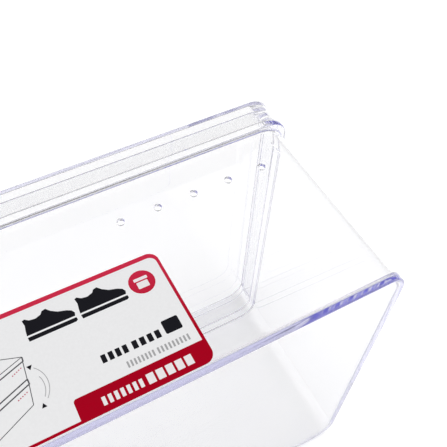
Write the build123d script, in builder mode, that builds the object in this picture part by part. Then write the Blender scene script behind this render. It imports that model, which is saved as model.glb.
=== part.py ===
from build123d import *
import os

# A clear injection-moulded shoe box: an open tray with a flange round its rim, a lift-off lid that
# stands on the flange, and a paper label stuck to the front wall. Millimetres, +Z up, origin at
# the middle of the underside. +X runs along the box, and the label faces -Y.

# The tray: its footprint grows upwards by the draft
base_length = 325.0
base_width = 205.0
base_corner = 13.0
tray_height = 125.3
wall_thickness = 2.0
floor_thickness = 3.5
draft_slope = 0.01
draft_angle = 0.573
foot_edge_radius = 1.2
cavity_edge_radius = 2.5
rim_top_radius = 0.5

# The flange that the lid stands on
flange_underside = 109.9
flange_thickness = 5.1
flange_reach = 4.0
flange_corner = 13.5
flange_edge_radius = 0.8
flange_root_radius = 1.2

# Breathing holes in the front wall, one row near each end
vent_diameter = 4.0
vents_in_row = 5
vent_spacing = 20.0
vent_row_centre = 95.5
vent_height = 88.0
vent_cut_depth = 8.0

# The lid: a flat top panel with a skirt that goes down round the tray's rim.
# A reach is how far a face stands out past the tray's footprint.
lid_gap = 0.3
lid_top = 131.4
lid_corner = 12.5
lid_foot_reach = 3.2
lid_top_reach = 3.9
skirt_inner_reach = 1.6
panel_thickness = 1.2
lid_edge_radius = 0.8
panel_fillet_radius = 0.8

# The paper label, centred on the front wall
label_width = 124.8
label_height = 61.3
label_corner = 5.0
label_thickness = 0.15
label_bottom = 3.6
adhesive_gap = 0.02

flange_top = flange_underside + flange_thickness
lid_foot = flange_top + lid_gap
panel_underside = lid_top - panel_thickness
label_middle = label_bottom + label_height / 2


def level_edges(part, height):
    """The edges that lie at one height."""
    return part.edges().filter_by_position(Axis.Z, height - 0.001, height + 0.001)


def outer_ring(part, height):
    """The outermost ring of edges of the level face at one height."""
    level_faces = part.faces().filter_by_position(Axis.Z, height - 0.001, height + 0.001)
    return level_faces.sort_by(SortBy.AREA)[-1].outer_wire().edges()


def inner_ring(part, height):
    """The innermost ring of edges of the level face at one height."""
    level_faces = part.faces().filter_by_position(Axis.Z, height - 0.001, height + 0.001)
    return level_faces.sort_by(SortBy.AREA)[-1].inner_wires()[0].edges()


def footprint(reach, corner):
    """A rounded rectangle that stands out past the tray's footprint by a reach."""
    return RectangleRounded(base_length + 2 * reach, base_width + 2 * reach, corner)


# Tray: drafted walls, a floor, the flange and the breathing holes
with BuildPart() as tray:
    with BuildSketch(Plane.XY):
        footprint(0, base_corner)
    extrude(amount=tray_height, taper=-draft_angle)
    fillet(level_edges(tray, 0), foot_edge_radius)

    with BuildSketch(Plane.XY.offset(flange_underside)):
        footprint(flange_reach, flange_corner)
    extrude(amount=flange_thickness)
    fillet(outer_ring(tray, flange_underside), flange_edge_radius)
    fillet(outer_ring(tray, flange_top), flange_edge_radius)
    fillet(inner_ring(tray, flange_underside), flange_root_radius)

    with BuildSketch(Plane.XY.offset(floor_thickness)):
        footprint(draft_slope * floor_thickness - wall_thickness, base_corner - wall_thickness)
    extrude(amount=tray_height - floor_thickness, taper=-draft_angle, mode=Mode.SUBTRACT)
    fillet(level_edges(tray, floor_thickness), cavity_edge_radius)
    fillet(level_edges(tray, tray_height), rim_top_radius)

    vent_plane = Plane(
        origin=(0, vent_cut_depth / 2 - base_width / 2, vent_height),
        x_dir=(1, 0, 0),
        z_dir=(0, -1, 0),
    )
    with BuildSketch(vent_plane):
        with Locations((-vent_row_centre, 0), (vent_row_centre, 0)):
            with GridLocations(vent_spacing, 0, vents_in_row, 1):
                Circle(vent_diameter / 2)
    extrude(amount=vent_cut_depth, mode=Mode.SUBTRACT)
tray.part.label = "tray"


# Lid: hollow below, where it slips over the tray's rim
with BuildPart() as lid:
    with BuildSketch(Plane.XY.offset(lid_foot)):
        footprint(lid_foot_reach, lid_corner)
    with BuildSketch(Plane.XY.offset(lid_top)):
        footprint(lid_top_reach, lid_corner)
    loft(ruled=True)
    fillet(level_edges(lid, lid_top), lid_edge_radius)

    with BuildSketch(Plane.XY.offset(lid_foot)):
        footprint(skirt_inner_reach, base_corner + skirt_inner_reach)
    extrude(amount=panel_underside - lid_foot, mode=Mode.SUBTRACT)
    fillet(level_edges(lid, panel_underside), panel_fillet_radius)
lid.part.label = "lid"


# Label: a sheet that lies against the drafted front wall
label_plane = Plane(
    origin=(0, -base_width / 2 - draft_slope * label_middle - adhesive_gap, label_middle),
    x_dir=(1, 0, 0),
    z_dir=(0, -1, -draft_slope),
)
with BuildPart() as label:
    with BuildSketch(label_plane):
        RectangleRounded(label_width, label_height, label_corner)
    extrude(amount=label_thickness)
label.part.label = "label"


os.makedirs("parts", exist_ok=True)
export_step(tray.part, "parts/tray.step")
export_step(lid.part, "parts/lid.step")
export_step(label.part, "parts/label.step")
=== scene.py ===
import math

import bpy
from mathutils import Matrix, Vector


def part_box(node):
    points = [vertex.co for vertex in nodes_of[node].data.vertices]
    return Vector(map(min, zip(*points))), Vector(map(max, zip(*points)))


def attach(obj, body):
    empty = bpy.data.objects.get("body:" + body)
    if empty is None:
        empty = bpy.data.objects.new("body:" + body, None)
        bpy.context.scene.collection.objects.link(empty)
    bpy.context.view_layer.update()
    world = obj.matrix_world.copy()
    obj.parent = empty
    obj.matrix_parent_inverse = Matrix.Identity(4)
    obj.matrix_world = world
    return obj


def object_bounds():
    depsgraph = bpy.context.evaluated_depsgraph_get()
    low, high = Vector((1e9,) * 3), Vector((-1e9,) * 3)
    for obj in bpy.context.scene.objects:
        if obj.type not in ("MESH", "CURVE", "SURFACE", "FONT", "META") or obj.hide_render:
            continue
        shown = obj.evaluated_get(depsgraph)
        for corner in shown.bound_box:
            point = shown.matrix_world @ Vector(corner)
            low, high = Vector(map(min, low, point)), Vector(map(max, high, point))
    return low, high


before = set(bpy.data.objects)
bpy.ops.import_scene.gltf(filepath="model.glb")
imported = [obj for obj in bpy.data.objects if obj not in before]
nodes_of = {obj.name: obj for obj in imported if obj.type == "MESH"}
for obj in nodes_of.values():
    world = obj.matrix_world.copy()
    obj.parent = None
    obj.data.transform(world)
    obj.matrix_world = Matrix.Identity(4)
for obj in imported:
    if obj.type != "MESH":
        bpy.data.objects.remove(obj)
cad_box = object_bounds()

# The shoe box stands on z = 0 with its label towards -Y. Metres throughout, and millimetres
# where a name ends in _MM or a drawing is laid out on the label.
MM = 0.001

# The camera looks at the label wall and the underside from in front and below, with the label's
# side as its "up", as if the box lay on its back wall.
CAMERA_PLACE = Vector((-0.0005, -0.3393, -0.0910))
CAMERA_AZIMUTH = math.radians(19.87)
CAMERA_ELEVATION = math.radians(32.94)
CAMERA_ROLL = math.radians(0.3)
CAMERA_UP = Vector((0, -1, 0))
CAMERA_LENS = 49.66
CAMERA_SHIFT = (0.0754, 0.0)

scene = bpy.context.scene


def make_camera():
    """The camera, aimed by azimuth and elevation, level with the box's back wall as its ground."""
    forward = Vector((
        math.sin(CAMERA_AZIMUTH) * math.cos(CAMERA_ELEVATION),
        math.cos(CAMERA_AZIMUTH) * math.cos(CAMERA_ELEVATION),
        math.sin(CAMERA_ELEVATION),
    ))
    right = forward.cross(CAMERA_UP).normalized()
    up = right.cross(forward)
    roll = Matrix.Rotation(-CAMERA_ROLL, 3, forward)
    right, up = roll @ right, roll @ up
    turn = Matrix((right, up, -forward)).transposed().to_4x4()
    camera = bpy.data.objects.new("camera", bpy.data.cameras.new("camera"))
    camera.data.lens = CAMERA_LENS
    camera.data.sensor_width = 36.0
    camera.data.shift_x, camera.data.shift_y = CAMERA_SHIFT
    camera.data.clip_start, camera.data.clip_end = 0.005, 50.0
    camera.matrix_world = Matrix.Translation(CAMERA_PLACE) @ turn
    scene.collection.objects.link(camera)
    scene.camera = camera


# Materials ------------------------------------------------------------------------------------

PLASTIC_IOR = 1.57
PLASTIC_CLEAR = (0.995, 0.995, 0.997)
PLASTIC_HAZY = (0.985, 0.985, 0.99)
PLASTIC_LAVENDER = (0.15, 0.12, 0.88, 1)
# How strongly each part takes up light on the way through
PLASTIC_TINTS = {"tray": 1.5, "lid": 0.6}
PAPER_PALE = (0.94, 0.94, 0.95)
PAPER_FIBRE = (0.91, 0.91, 0.92)
# The red of the border turns darker between these heights above the foot of the box
FADE_TOP = 0.062
FADE_FOOT = 0.02


def new_material(name):
    """An empty node material and its output node."""
    material = bpy.data.materials.new(name)
    material.use_nodes = True
    material.node_tree.nodes.clear()
    return material, material.node_tree, material.node_tree.nodes.new("ShaderNodeOutputMaterial")


def noise(tree, scale, detail, low, high):
    """Soft noise in the object's own space, brought into a range."""
    place = tree.nodes.new("ShaderNodeTexCoord")
    texture = tree.nodes.new("ShaderNodeTexNoise")
    texture.inputs["Scale"].default_value = scale
    texture.inputs["Detail"].default_value = detail
    tree.links.new(place.outputs["Object"], texture.inputs["Vector"])
    spread = tree.nodes.new("ShaderNodeMapRange")
    spread.inputs["From Min"].default_value = 0.3
    spread.inputs["From Max"].default_value = 0.7
    spread.inputs["To Min"].default_value = low
    spread.inputs["To Max"].default_value = high
    tree.links.new(texture.outputs["Fac"], spread.inputs["Value"])
    return spread.outputs["Result"]


def bump(tree, height, strength, distance):
    """A bump from a height socket."""
    node = tree.nodes.new("ShaderNodeBump")
    node.inputs["Strength"].default_value = strength
    node.inputs["Distance"].default_value = distance
    tree.links.new(height, node.inputs["Height"])
    return node.outputs["Normal"]


def mixed(tree, factor, first, second):
    """A colour between two, by a factor socket."""
    node = tree.nodes.new("ShaderNodeMix")
    node.data_type = "RGBA"
    node.inputs["A"].default_value = (*first, 1)
    node.inputs["B"].default_value = (*second, 1)
    tree.links.new(factor, node.inputs["Factor"])
    return node.outputs["Result"]


def clear_plastic(name, tint):
    """Polished clear plastic with a lavender tint where the light runs a long way through it."""
    material, tree, out = new_material(name)
    shader = tree.nodes.new("ShaderNodeBsdfPrincipled")
    shader.inputs["IOR"].default_value = PLASTIC_IOR
    shader.inputs["Transmission Weight"].default_value = 1.0
    shader.inputs["Roughness"].default_value = 0.0
    haze = noise(tree, scale=40, detail=2, low=0, high=1)
    tree.links.new(mixed(tree, haze, PLASTIC_CLEAR, PLASTIC_HAZY), shader.inputs["Base Color"])
    tree.links.new(shader.outputs[0], out.inputs["Surface"])
    volume = tree.nodes.new("ShaderNodeVolumeAbsorption")
    volume.inputs["Color"].default_value = PLASTIC_LAVENDER
    volume.inputs["Density"].default_value = tint
    tree.links.new(volume.outputs[0], out.inputs["Volume"])
    return material


def paper():
    """Pale uncoated paper with fine fibres."""
    material, tree, out = new_material("label_paper")
    shader = tree.nodes.new("ShaderNodeBsdfPrincipled")
    fibre = noise(tree, scale=900, detail=4, low=0, high=1)
    roughness = noise(tree, scale=300, detail=2, low=0.42, high=0.5)
    tree.links.new(mixed(tree, fibre, PAPER_PALE, PAPER_FIBRE), shader.inputs["Base Color"])
    tree.links.new(roughness, shader.inputs["Roughness"])
    shader.inputs["Specular IOR Level"].default_value = 0.3
    tree.links.new(bump(tree, fibre, strength=0.05, distance=0.00005), shader.inputs["Normal"])
    tree.links.new(shader.outputs[0], out.inputs["Surface"])
    return material


def ink(name, colour, low_colour=None):
    """Printed ink with a slightly uneven cover. It may turn to a second colour low on the label."""
    material, tree, out = new_material(name)
    shader = tree.nodes.new("ShaderNodeBsdfPrincipled")
    cover = noise(tree, scale=700, detail=3, low=0, high=1)
    thin = [0.95 * c + 0.001 for c in colour]
    top = mixed(tree, cover, colour, thin)
    if low_colour:
        place = tree.nodes.new("ShaderNodeTexCoord")
        split = tree.nodes.new("ShaderNodeSeparateXYZ")
        tree.links.new(place.outputs["Object"], split.inputs[0])
        fade = tree.nodes.new("ShaderNodeMapRange")
        fade.inputs["From Min"].default_value = FADE_TOP
        fade.inputs["From Max"].default_value = FADE_FOOT
        tree.links.new(split.outputs["Z"], fade.inputs["Value"])
        both = tree.nodes.new("ShaderNodeMix")
        both.data_type = "RGBA"
        both.inputs["B"].default_value = (*low_colour, 1)
        tree.links.new(fade.outputs["Result"], both.inputs["Factor"])
        tree.links.new(top, both.inputs["A"])
        top = both.outputs["Result"]
    tree.links.new(top, shader.inputs["Base Color"])
    roughness = noise(tree, scale=500, detail=2, low=0.35, high=0.45)
    tree.links.new(roughness, shader.inputs["Roughness"])
    shader.inputs["Specular IOR Level"].default_value = 0.02
    tree.links.new(shader.outputs[0], out.inputs["Surface"])
    return material


def one_sided(name, colour, glow):
    """A matt stage material, with a glow, that only shows from the side its normal faces."""
    material, tree, out = new_material(name)
    matt = tree.nodes.new("ShaderNodeBsdfPrincipled")
    matt.inputs["Base Color"].default_value = (*colour, 1)
    matt.inputs["Roughness"].default_value = 1.0
    matt.inputs["Specular IOR Level"].default_value = 0.0
    matt.inputs["Emission Color"].default_value = (1, 1, 1, 1)
    matt.inputs["Emission Strength"].default_value = glow
    gone = tree.nodes.new("ShaderNodeBsdfTransparent")
    side = tree.nodes.new("ShaderNodeNewGeometry")
    mix = tree.nodes.new("ShaderNodeMixShader")
    tree.links.new(side.outputs["Backfacing"], mix.inputs[0])
    tree.links.new(matt.outputs[0], mix.inputs[1])
    tree.links.new(gone.outputs[0], mix.inputs[2])
    tree.links.new(mix.outputs[0], out.inputs["Surface"])
    return material


# The printed label ------------------------------------------------------------------------------

# The label leans outwards with the wall. Each layer of ink stands INK_HEIGHT further out, and its
# back is INK_ROOT inside the paper.
LABEL_LEAN = 0.01
INK_HEIGHT = 0.00002
INK_ROOT = 0.00004

# Places on the label in millimetres: x from its middle, z from the foot of the box. A row is
# the foot and the top of a line of bars.
LABEL_CORNER = 5
BORDER_CORNER = 3.6
BORDER_SIDE, BORDER_FOOT, BORDER_TOP = 1.5, 1.3, 2.4
BAND_LEFT, BAND_TOP = 2.6, 14.2
BAND_SMALL_ROW = (6.4, 10.2)
BAND_LARGE_ROW = (6.2, 10.8)
NAME_ROW = (23.2, 27.1)
LINE_ROW = (16.6, 19.6)
SHOE_HEELS = (-4.5, 19.6)
SHOE_SOLE = 46.6
SHOE_LENGTH = 22.4
EMBLEM_CENTRE = (50.2, 52.0)
EMBLEM_RADIUS = 6.2
THIN_LINE, THICK_LINE, ARC_LINE = 0.35, 0.6, 0.3
DOT_RADIUS = 0.33
label_low, label_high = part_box("label")


def on_label(x, z, proud):
    """The point x, z (mm) on the label's face, standing out by proud (m)."""
    face = label_low.y + LABEL_LEAN * (label_high.z - z * MM)
    return Vector((x * MM, face - proud, z * MM))


def printed(name, rings, material, layer=0):
    """A piece of thin ink. Each ring is (outer, inner): an outline, and a hole's outline or None.
    A layer counts the inks that it lies over."""
    points, faces = [], []
    proud = INK_HEIGHT * (1 + layer)
    for outer, inner in rings:
        for outline in (outer, inner):
            if outline is None:
                continue
            start, count = len(points), len(outline)
            points += [on_label(x, z, proud) for x, z in outline]
            points += [on_label(x, z, -INK_ROOT) for x, z in outline]
            for i in range(count):
                j = (i + 1) % count
                side = (start + i, start + j, start + count + j, start + count + i)
                faces.append(side if outline is inner else side[::-1])
        if inner is None:
            faces.append(tuple(range(start, start + count)))
            faces.append(tuple(range(start + 2 * count - 1, start + count - 1, -1)))
        else:
            first = start - 2 * count
            for i in range(count):
                j = (i + 1) % count
                faces.append((first + i, first + j, start + j, start + i))
                faces.append((first + count + j, first + count + i,
                              start + count + i, start + count + j))
    mesh = bpy.data.meshes.new(name)
    mesh.from_pydata(points, [], faces)
    mesh.validate()
    piece = bpy.data.objects.new(name, mesh)
    piece.data.materials.append(material)
    scene.collection.objects.link(piece)
    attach(piece, "tray")
    return piece


def rounded(x0, z0, x1, z1, radii, steps=8):
    """A rectangle with its own radius at each corner: low left, low right, top right, top left."""
    low_left, low_right, top_right, top_left = radii
    corners = (
        (x0 + low_left, z0 + low_left, low_left, 180),
        (x1 - low_right, z0 + low_right, low_right, 270),
        (x1 - top_right, z1 - top_right, top_right, 0),
        (x0 + top_left, z1 - top_left, top_left, 90),
    )
    outline = []
    for cx, cz, radius, first in corners:
        for k in range(steps + 1):
            turn = math.radians(first + 90 * k / steps)
            outline.append((cx + radius * math.cos(turn), cz + radius * math.sin(turn)))
    return outline


def stroke(path, width):
    """A line drawn along a path, with square joints."""
    left, right = [], []
    for i, point in enumerate(path):
        here = Vector(point)
        before = (here - Vector(path[i - 1])).normalized() if i else None
        after = (Vector(path[i + 1]) - here).normalized() if i + 1 < len(path) else None
        along = ((before or after) + (after or before)).normalized()
        across = Vector((-along.y, along.x)) * width / 2 / max(0.5, along.dot(before or after))
        left.append(tuple(here + across))
        right.append(tuple(here - across))
    return right + left[::-1]


def arc(cx, cz, radius, first, last, steps=24):
    """Points round part of a circle, in degrees."""
    turns = [math.radians(first + (last - first) * k / steps) for k in range(steps + 1)]
    return [(cx + radius * math.cos(t), cz + radius * math.sin(t)) for t in turns]


def bars(x0, x1, row, count, cover):
    """A row of plain bars standing for a word: how many, and what share of the row they cover."""
    z0, z1 = row
    pitch = (x1 - x0) / (count - 1 + cover)
    rows = [(x0 + i * pitch, x0 + (i + cover) * pitch) for i in range(count)]
    return [(rounded(a, z0, b, z1, (0.15,) * 4, 2), None) for a, b in rows]


def closed(points):
    """An outline without a hole, in the form that printed takes."""
    return (points, None)


def shoe(x, z, length):
    """A plain low shoe seen from the side, its toe to the right: an upper and a sole."""
    upper = ((0.00, 0.13), (0.97, 0.13), (0.99, 0.20), (0.95, 0.27), (0.86, 0.32), (0.70, 0.37),
             (0.58, 0.45), (0.50, 0.54), (0.42, 0.52), (0.38, 0.46), (0.26, 0.42), (0.14, 0.44),
             (0.06, 0.50), (0.01, 0.48), (0.03, 0.36), (0.01, 0.24))
    sole = ((0.01, 0.00), (0.95, 0.00), (0.99, 0.03), (0.98, 0.09), (0.00, 0.09))
    return [closed([(x + length * a, z + length * b) for a, b in part]) for part in (upper, sole)]


def make_print():
    """Everything printed on the label. Plain bars stand where the real label has words."""
    red = ink("red_ink", (0.66, 0.028, 0.075), (0.43, 0.0006, 0.014))
    dark_red = ink("dark_red_ink", (0.42, 0.0006, 0.014))
    black = ink("black_ink", (0.012, 0.012, 0.016))
    grey = ink("grey_ink", (0.11, 0.11, 0.12))
    pale = ink("pale_grey_ink", (0.42, 0.42, 0.43))
    white = ink("white_ink", (0.93, 0.89, 0.90))
    pink = ink("pink_ink", (0.62, 0.20, 0.24))
    x0, x1, z0, z1 = label_low.x / MM, label_high.x / MM, label_low.z / MM, label_high.z / MM

    inside = rounded(x0 + BORDER_SIDE, z0 + BORDER_FOOT, x1 - BORDER_SIDE, z1 - BORDER_TOP,
                     (BORDER_CORNER,) * 4)
    printed("label_border", [(rounded(x0, z0, x1, z1, (LABEL_CORNER,) * 4), inside)], red)
    band = rounded(BAND_LEFT, z0, x1, BAND_TOP, (0.1, LABEL_CORNER, 0.1, 1.5))
    printed("label_band", [closed(band)], dark_red, 1)
    printed("label_band_bars", bars(13.0, 30.8, BAND_SMALL_ROW, 7, 0.6)
            + bars(32.7, 53.4, BAND_LARGE_ROW, 5, 0.76), white, 2)

    heel, other_heel = SHOE_HEELS
    printed("label_shoes", shoe(heel, SHOE_SOLE, SHOE_LENGTH)
            + shoe(other_heel, SHOE_SOLE, SHOE_LENGTH), black)
    printed("label_emblem", [closed(arc(*EMBLEM_CENTRE, EMBLEM_RADIUS, 0, 345, 23))], red)
    printed("label_emblem_box", [closed(rounded(46.9, 53.0, 53.5, 54.6, (0.4,) * 4)),
                                 closed(rounded(47.5, 48.8, 52.9, 52.3, (0.4,) * 4))], white, 1)
    printed("label_name_bars", bars(19.5, 31.3, NAME_ROW, 4, 0.66)
            + bars(33.5, 46.5, NAME_ROW, 4, 0.66)
            + [closed(rounded(48.7, NAME_ROW[0], 56.5, 29.9, (0.8,) * 4))], black)
    printed("label_line_bars", bars(28.1, 40.5, LINE_ROW, 8, 0.5)
            + bars(42.0, 56.8, LINE_ROW, 9, 0.5), pale)

    thin, thick = THIN_LINE, THICK_LINE
    printed("label_drawing", [closed(stroke(path, width)) for path, width in (
        # the upper box: its lid's top and rim, then its two sides
        (((-9.5, 41.4), (-26.0, 47.0), (-53.0, 38.0), (-39.0, 31.5), (-9.5, 41.4)), thin),
        (((-53.0, 38.0), (-53.0, 35.7), (-39.0, 29.3)), thin),
        (((-39.0, 29.3), (-9.6, 39.4), (-9.5, 41.4)), thick),
        (((-9.8, 39.2), (-10.6, 30.6)), thin),
        (((-38.6, 29.2), (-38.3, 21.3)), thin),
        (((-52.6, 35.4), (-52.0, 27.5), (-38.3, 21.0)), thin),
        # the lower box: its lid's rim, then its two sides
        (((-38.3, 20.4), (-10.5, 31.0)), thick),
        (((-38.0, 18.0), (-10.4, 28.7), (-10.5, 31.0)), thick),
        (((-10.6, 28.4), (-11.7, 19.6), (-37.4, 7.6), (-38.0, 20.4)), thin),
        (((-52.0, 25.0), (-38.0, 18.0)), thin),
        (((-52.0, 27.0), (-51.0, 13.6), (-37.4, 7.6)), thin))], grey)
    dots = [(-15.4 + i, 35.0 + 0.45 * i) for i in range(5)]
    dots += [(-16.4 + i, 24.0 + 0.42 * i) for i in range(5)]
    printed("label_dots", [closed(arc(x, z, DOT_RADIUS, 0, 324, 9)) for x, z in dots], pink)
    printed("label_arrowheads", [closed([(-9.3, 36.3), (-8.1, 34.2), (-6.9, 36.3)]),
                                 closed([(-9.2, 16.6), (-7.0, 16.6), (-8.2, 18.7)])], black)
    printed("label_arcs", [closed(stroke(arc(-14.0, 26.6, 10.8, 48, -40), ARC_LINE)),
                           closed(stroke(arc(-14.6, 26.0, 9.6, 25, -33), ARC_LINE))], pale)


# Stage and lights -------------------------------------------------------------------------------

# Brightness of the world by direction, and as the camera sees it
FRONT_LOW = 0.7
FRONT_HIGH = 0.25
SIDE_RIGHT = 0.3
BACK = 1.0
SEEN = 1.0
# Where one brightness turns into another: parts of a direction of length one, along Z, X and Y
FRONT_RISE = (0.3, 0.58)
RIGHT_TURN = (0.35, 0.8)
BACK_TURN = (-0.1, 0.3)
KEY_STRENGTH = 1.08
KEY_SPREAD = math.radians(40)
KEY_ALONG = (0.0, 1.0, 0.0)
STAGE_SIZE = 12
STAGE_GREY = (0.93, 0.93, 0.93)
FLOOR_GAP = 0.0002
BACKDROP_GAP = 0.001
BACKDROP_GLOW = 0.34
# Clear plastic in front of clear plastic takes this many bounces of light
BOUNCES = 512
TRANSPARENT_BOUNCES = 32


def plane(name, centre, across, up, material):
    """A square stage plane whose normal is across x up."""
    mesh = bpy.data.meshes.new(name)
    a, u = Vector(across) * STAGE_SIZE / 2, Vector(up) * STAGE_SIZE / 2
    c = Vector(centre)
    mesh.from_pydata([c - a - u, c + a - u, c + a + u, c - a + u], [], [(0, 1, 2, 3)])
    stage = bpy.data.objects.new(name, mesh)
    stage.data.materials.append(material)
    stage.visible_shadow = False
    scene.collection.objects.link(stage)
    return stage


def make_key():
    """A broad lamp straight in front of the label. The plastic stops it, so the box shades what is
    behind it a little. It doesn't show in reflections or through the plastic."""
    light = bpy.data.lights.new("key", "SUN")
    light.energy = KEY_STRENGTH
    light.angle = KEY_SPREAD
    key = bpy.data.objects.new("key", light)
    key.rotation_mode = "QUATERNION"
    key.rotation_quaternion = Vector(KEY_ALONG).to_track_quat("-Z", "Y")
    key.visible_glossy = False
    key.visible_transmission = False
    scene.collection.objects.link(key)


def step(tree, value, low, high):
    """A smooth rise from 0 to 1 between two values of a socket."""
    node = tree.nodes.new("ShaderNodeMapRange")
    node.interpolation_type = "SMOOTHSTEP"
    node.inputs["From Min"].default_value = low
    node.inputs["From Max"].default_value = high
    tree.links.new(value, node.inputs["Value"])
    return node.outputs["Result"]


def blended(tree, factor, first, second):
    """One brightness or another, by a factor socket; either may be a number or a socket."""
    node = tree.nodes.new("ShaderNodeMix")
    tree.links.new(factor, node.inputs["Factor"])
    for socket, value in (("A", first), ("B", second)):
        if isinstance(value, (int, float)):
            node.inputs[socket].default_value = value
        else:
            tree.links.new(value, node.inputs[socket])
    return node.outputs["Result"]


def make_world():
    """A studio that is white behind the box. In front it is pale low down, and dim high up and
    towards the right. The camera sees it white all round."""
    world = bpy.data.worlds.new("studio")
    scene.world = world
    world.use_nodes = True
    tree = world.node_tree
    tree.nodes.clear()
    out = tree.nodes.new("ShaderNodeOutputWorld")
    bright = tree.nodes.new("ShaderNodeBackground")
    bright.inputs["Color"].default_value = (1, 1, 1, 1)
    place = tree.nodes.new("ShaderNodeTexCoord")
    split = tree.nodes.new("ShaderNodeSeparateXYZ")
    path = tree.nodes.new("ShaderNodeLightPath")
    tree.links.new(place.outputs["Generated"], split.inputs[0])
    front = blended(tree, step(tree, split.outputs["Z"], *FRONT_RISE), FRONT_LOW, FRONT_HIGH)
    side = blended(tree, step(tree, split.outputs["X"], *RIGHT_TURN), front, SIDE_RIGHT)
    all_round = blended(tree, step(tree, split.outputs["Y"], *BACK_TURN), side, BACK)
    seen = blended(tree, path.outputs["Is Camera Ray"], all_round, SEEN)
    tree.links.new(seen, bright.inputs["Strength"])
    tree.links.new(bright.outputs[0], out.inputs["Surface"])


scene.view_settings.view_transform = "Standard"
scene.cycles.max_bounces = BOUNCES
scene.cycles.transmission_bounces = BOUNCES
scene.cycles.glossy_bounces = BOUNCES
scene.cycles.transparent_max_bounces = TRANSPARENT_BOUNCES
scene.cycles.blur_glossy = 0.0
make_camera()
make_world()
make_key()
for node, tint in PLASTIC_TINTS.items():
    nodes_of[node].data.materials.clear()
    nodes_of[node].data.materials.append(clear_plastic(node + "_plastic", tint))
nodes_of["label"].data.materials.clear()
nodes_of["label"].data.materials.append(paper())
make_print()

# The backdrop stands just behind the box, in place of the table that it lies on in this view
floor = plane("floor", (0, 0, -FLOOR_GAP), (1, 0, 0), (0, 1, 0),
              one_sided("floor", STAGE_GREY, 0.0))
backdrop = plane("backdrop", (0, cad_box[1].y + BACKDROP_GAP, 0), (1, 0, 0), (0, 0, 1),
                 one_sided("backdrop", STAGE_GREY, BACKDROP_GLOW))
floor.visible_glossy = False
floor.visible_diffuse = False
backdrop.visible_diffuse = False
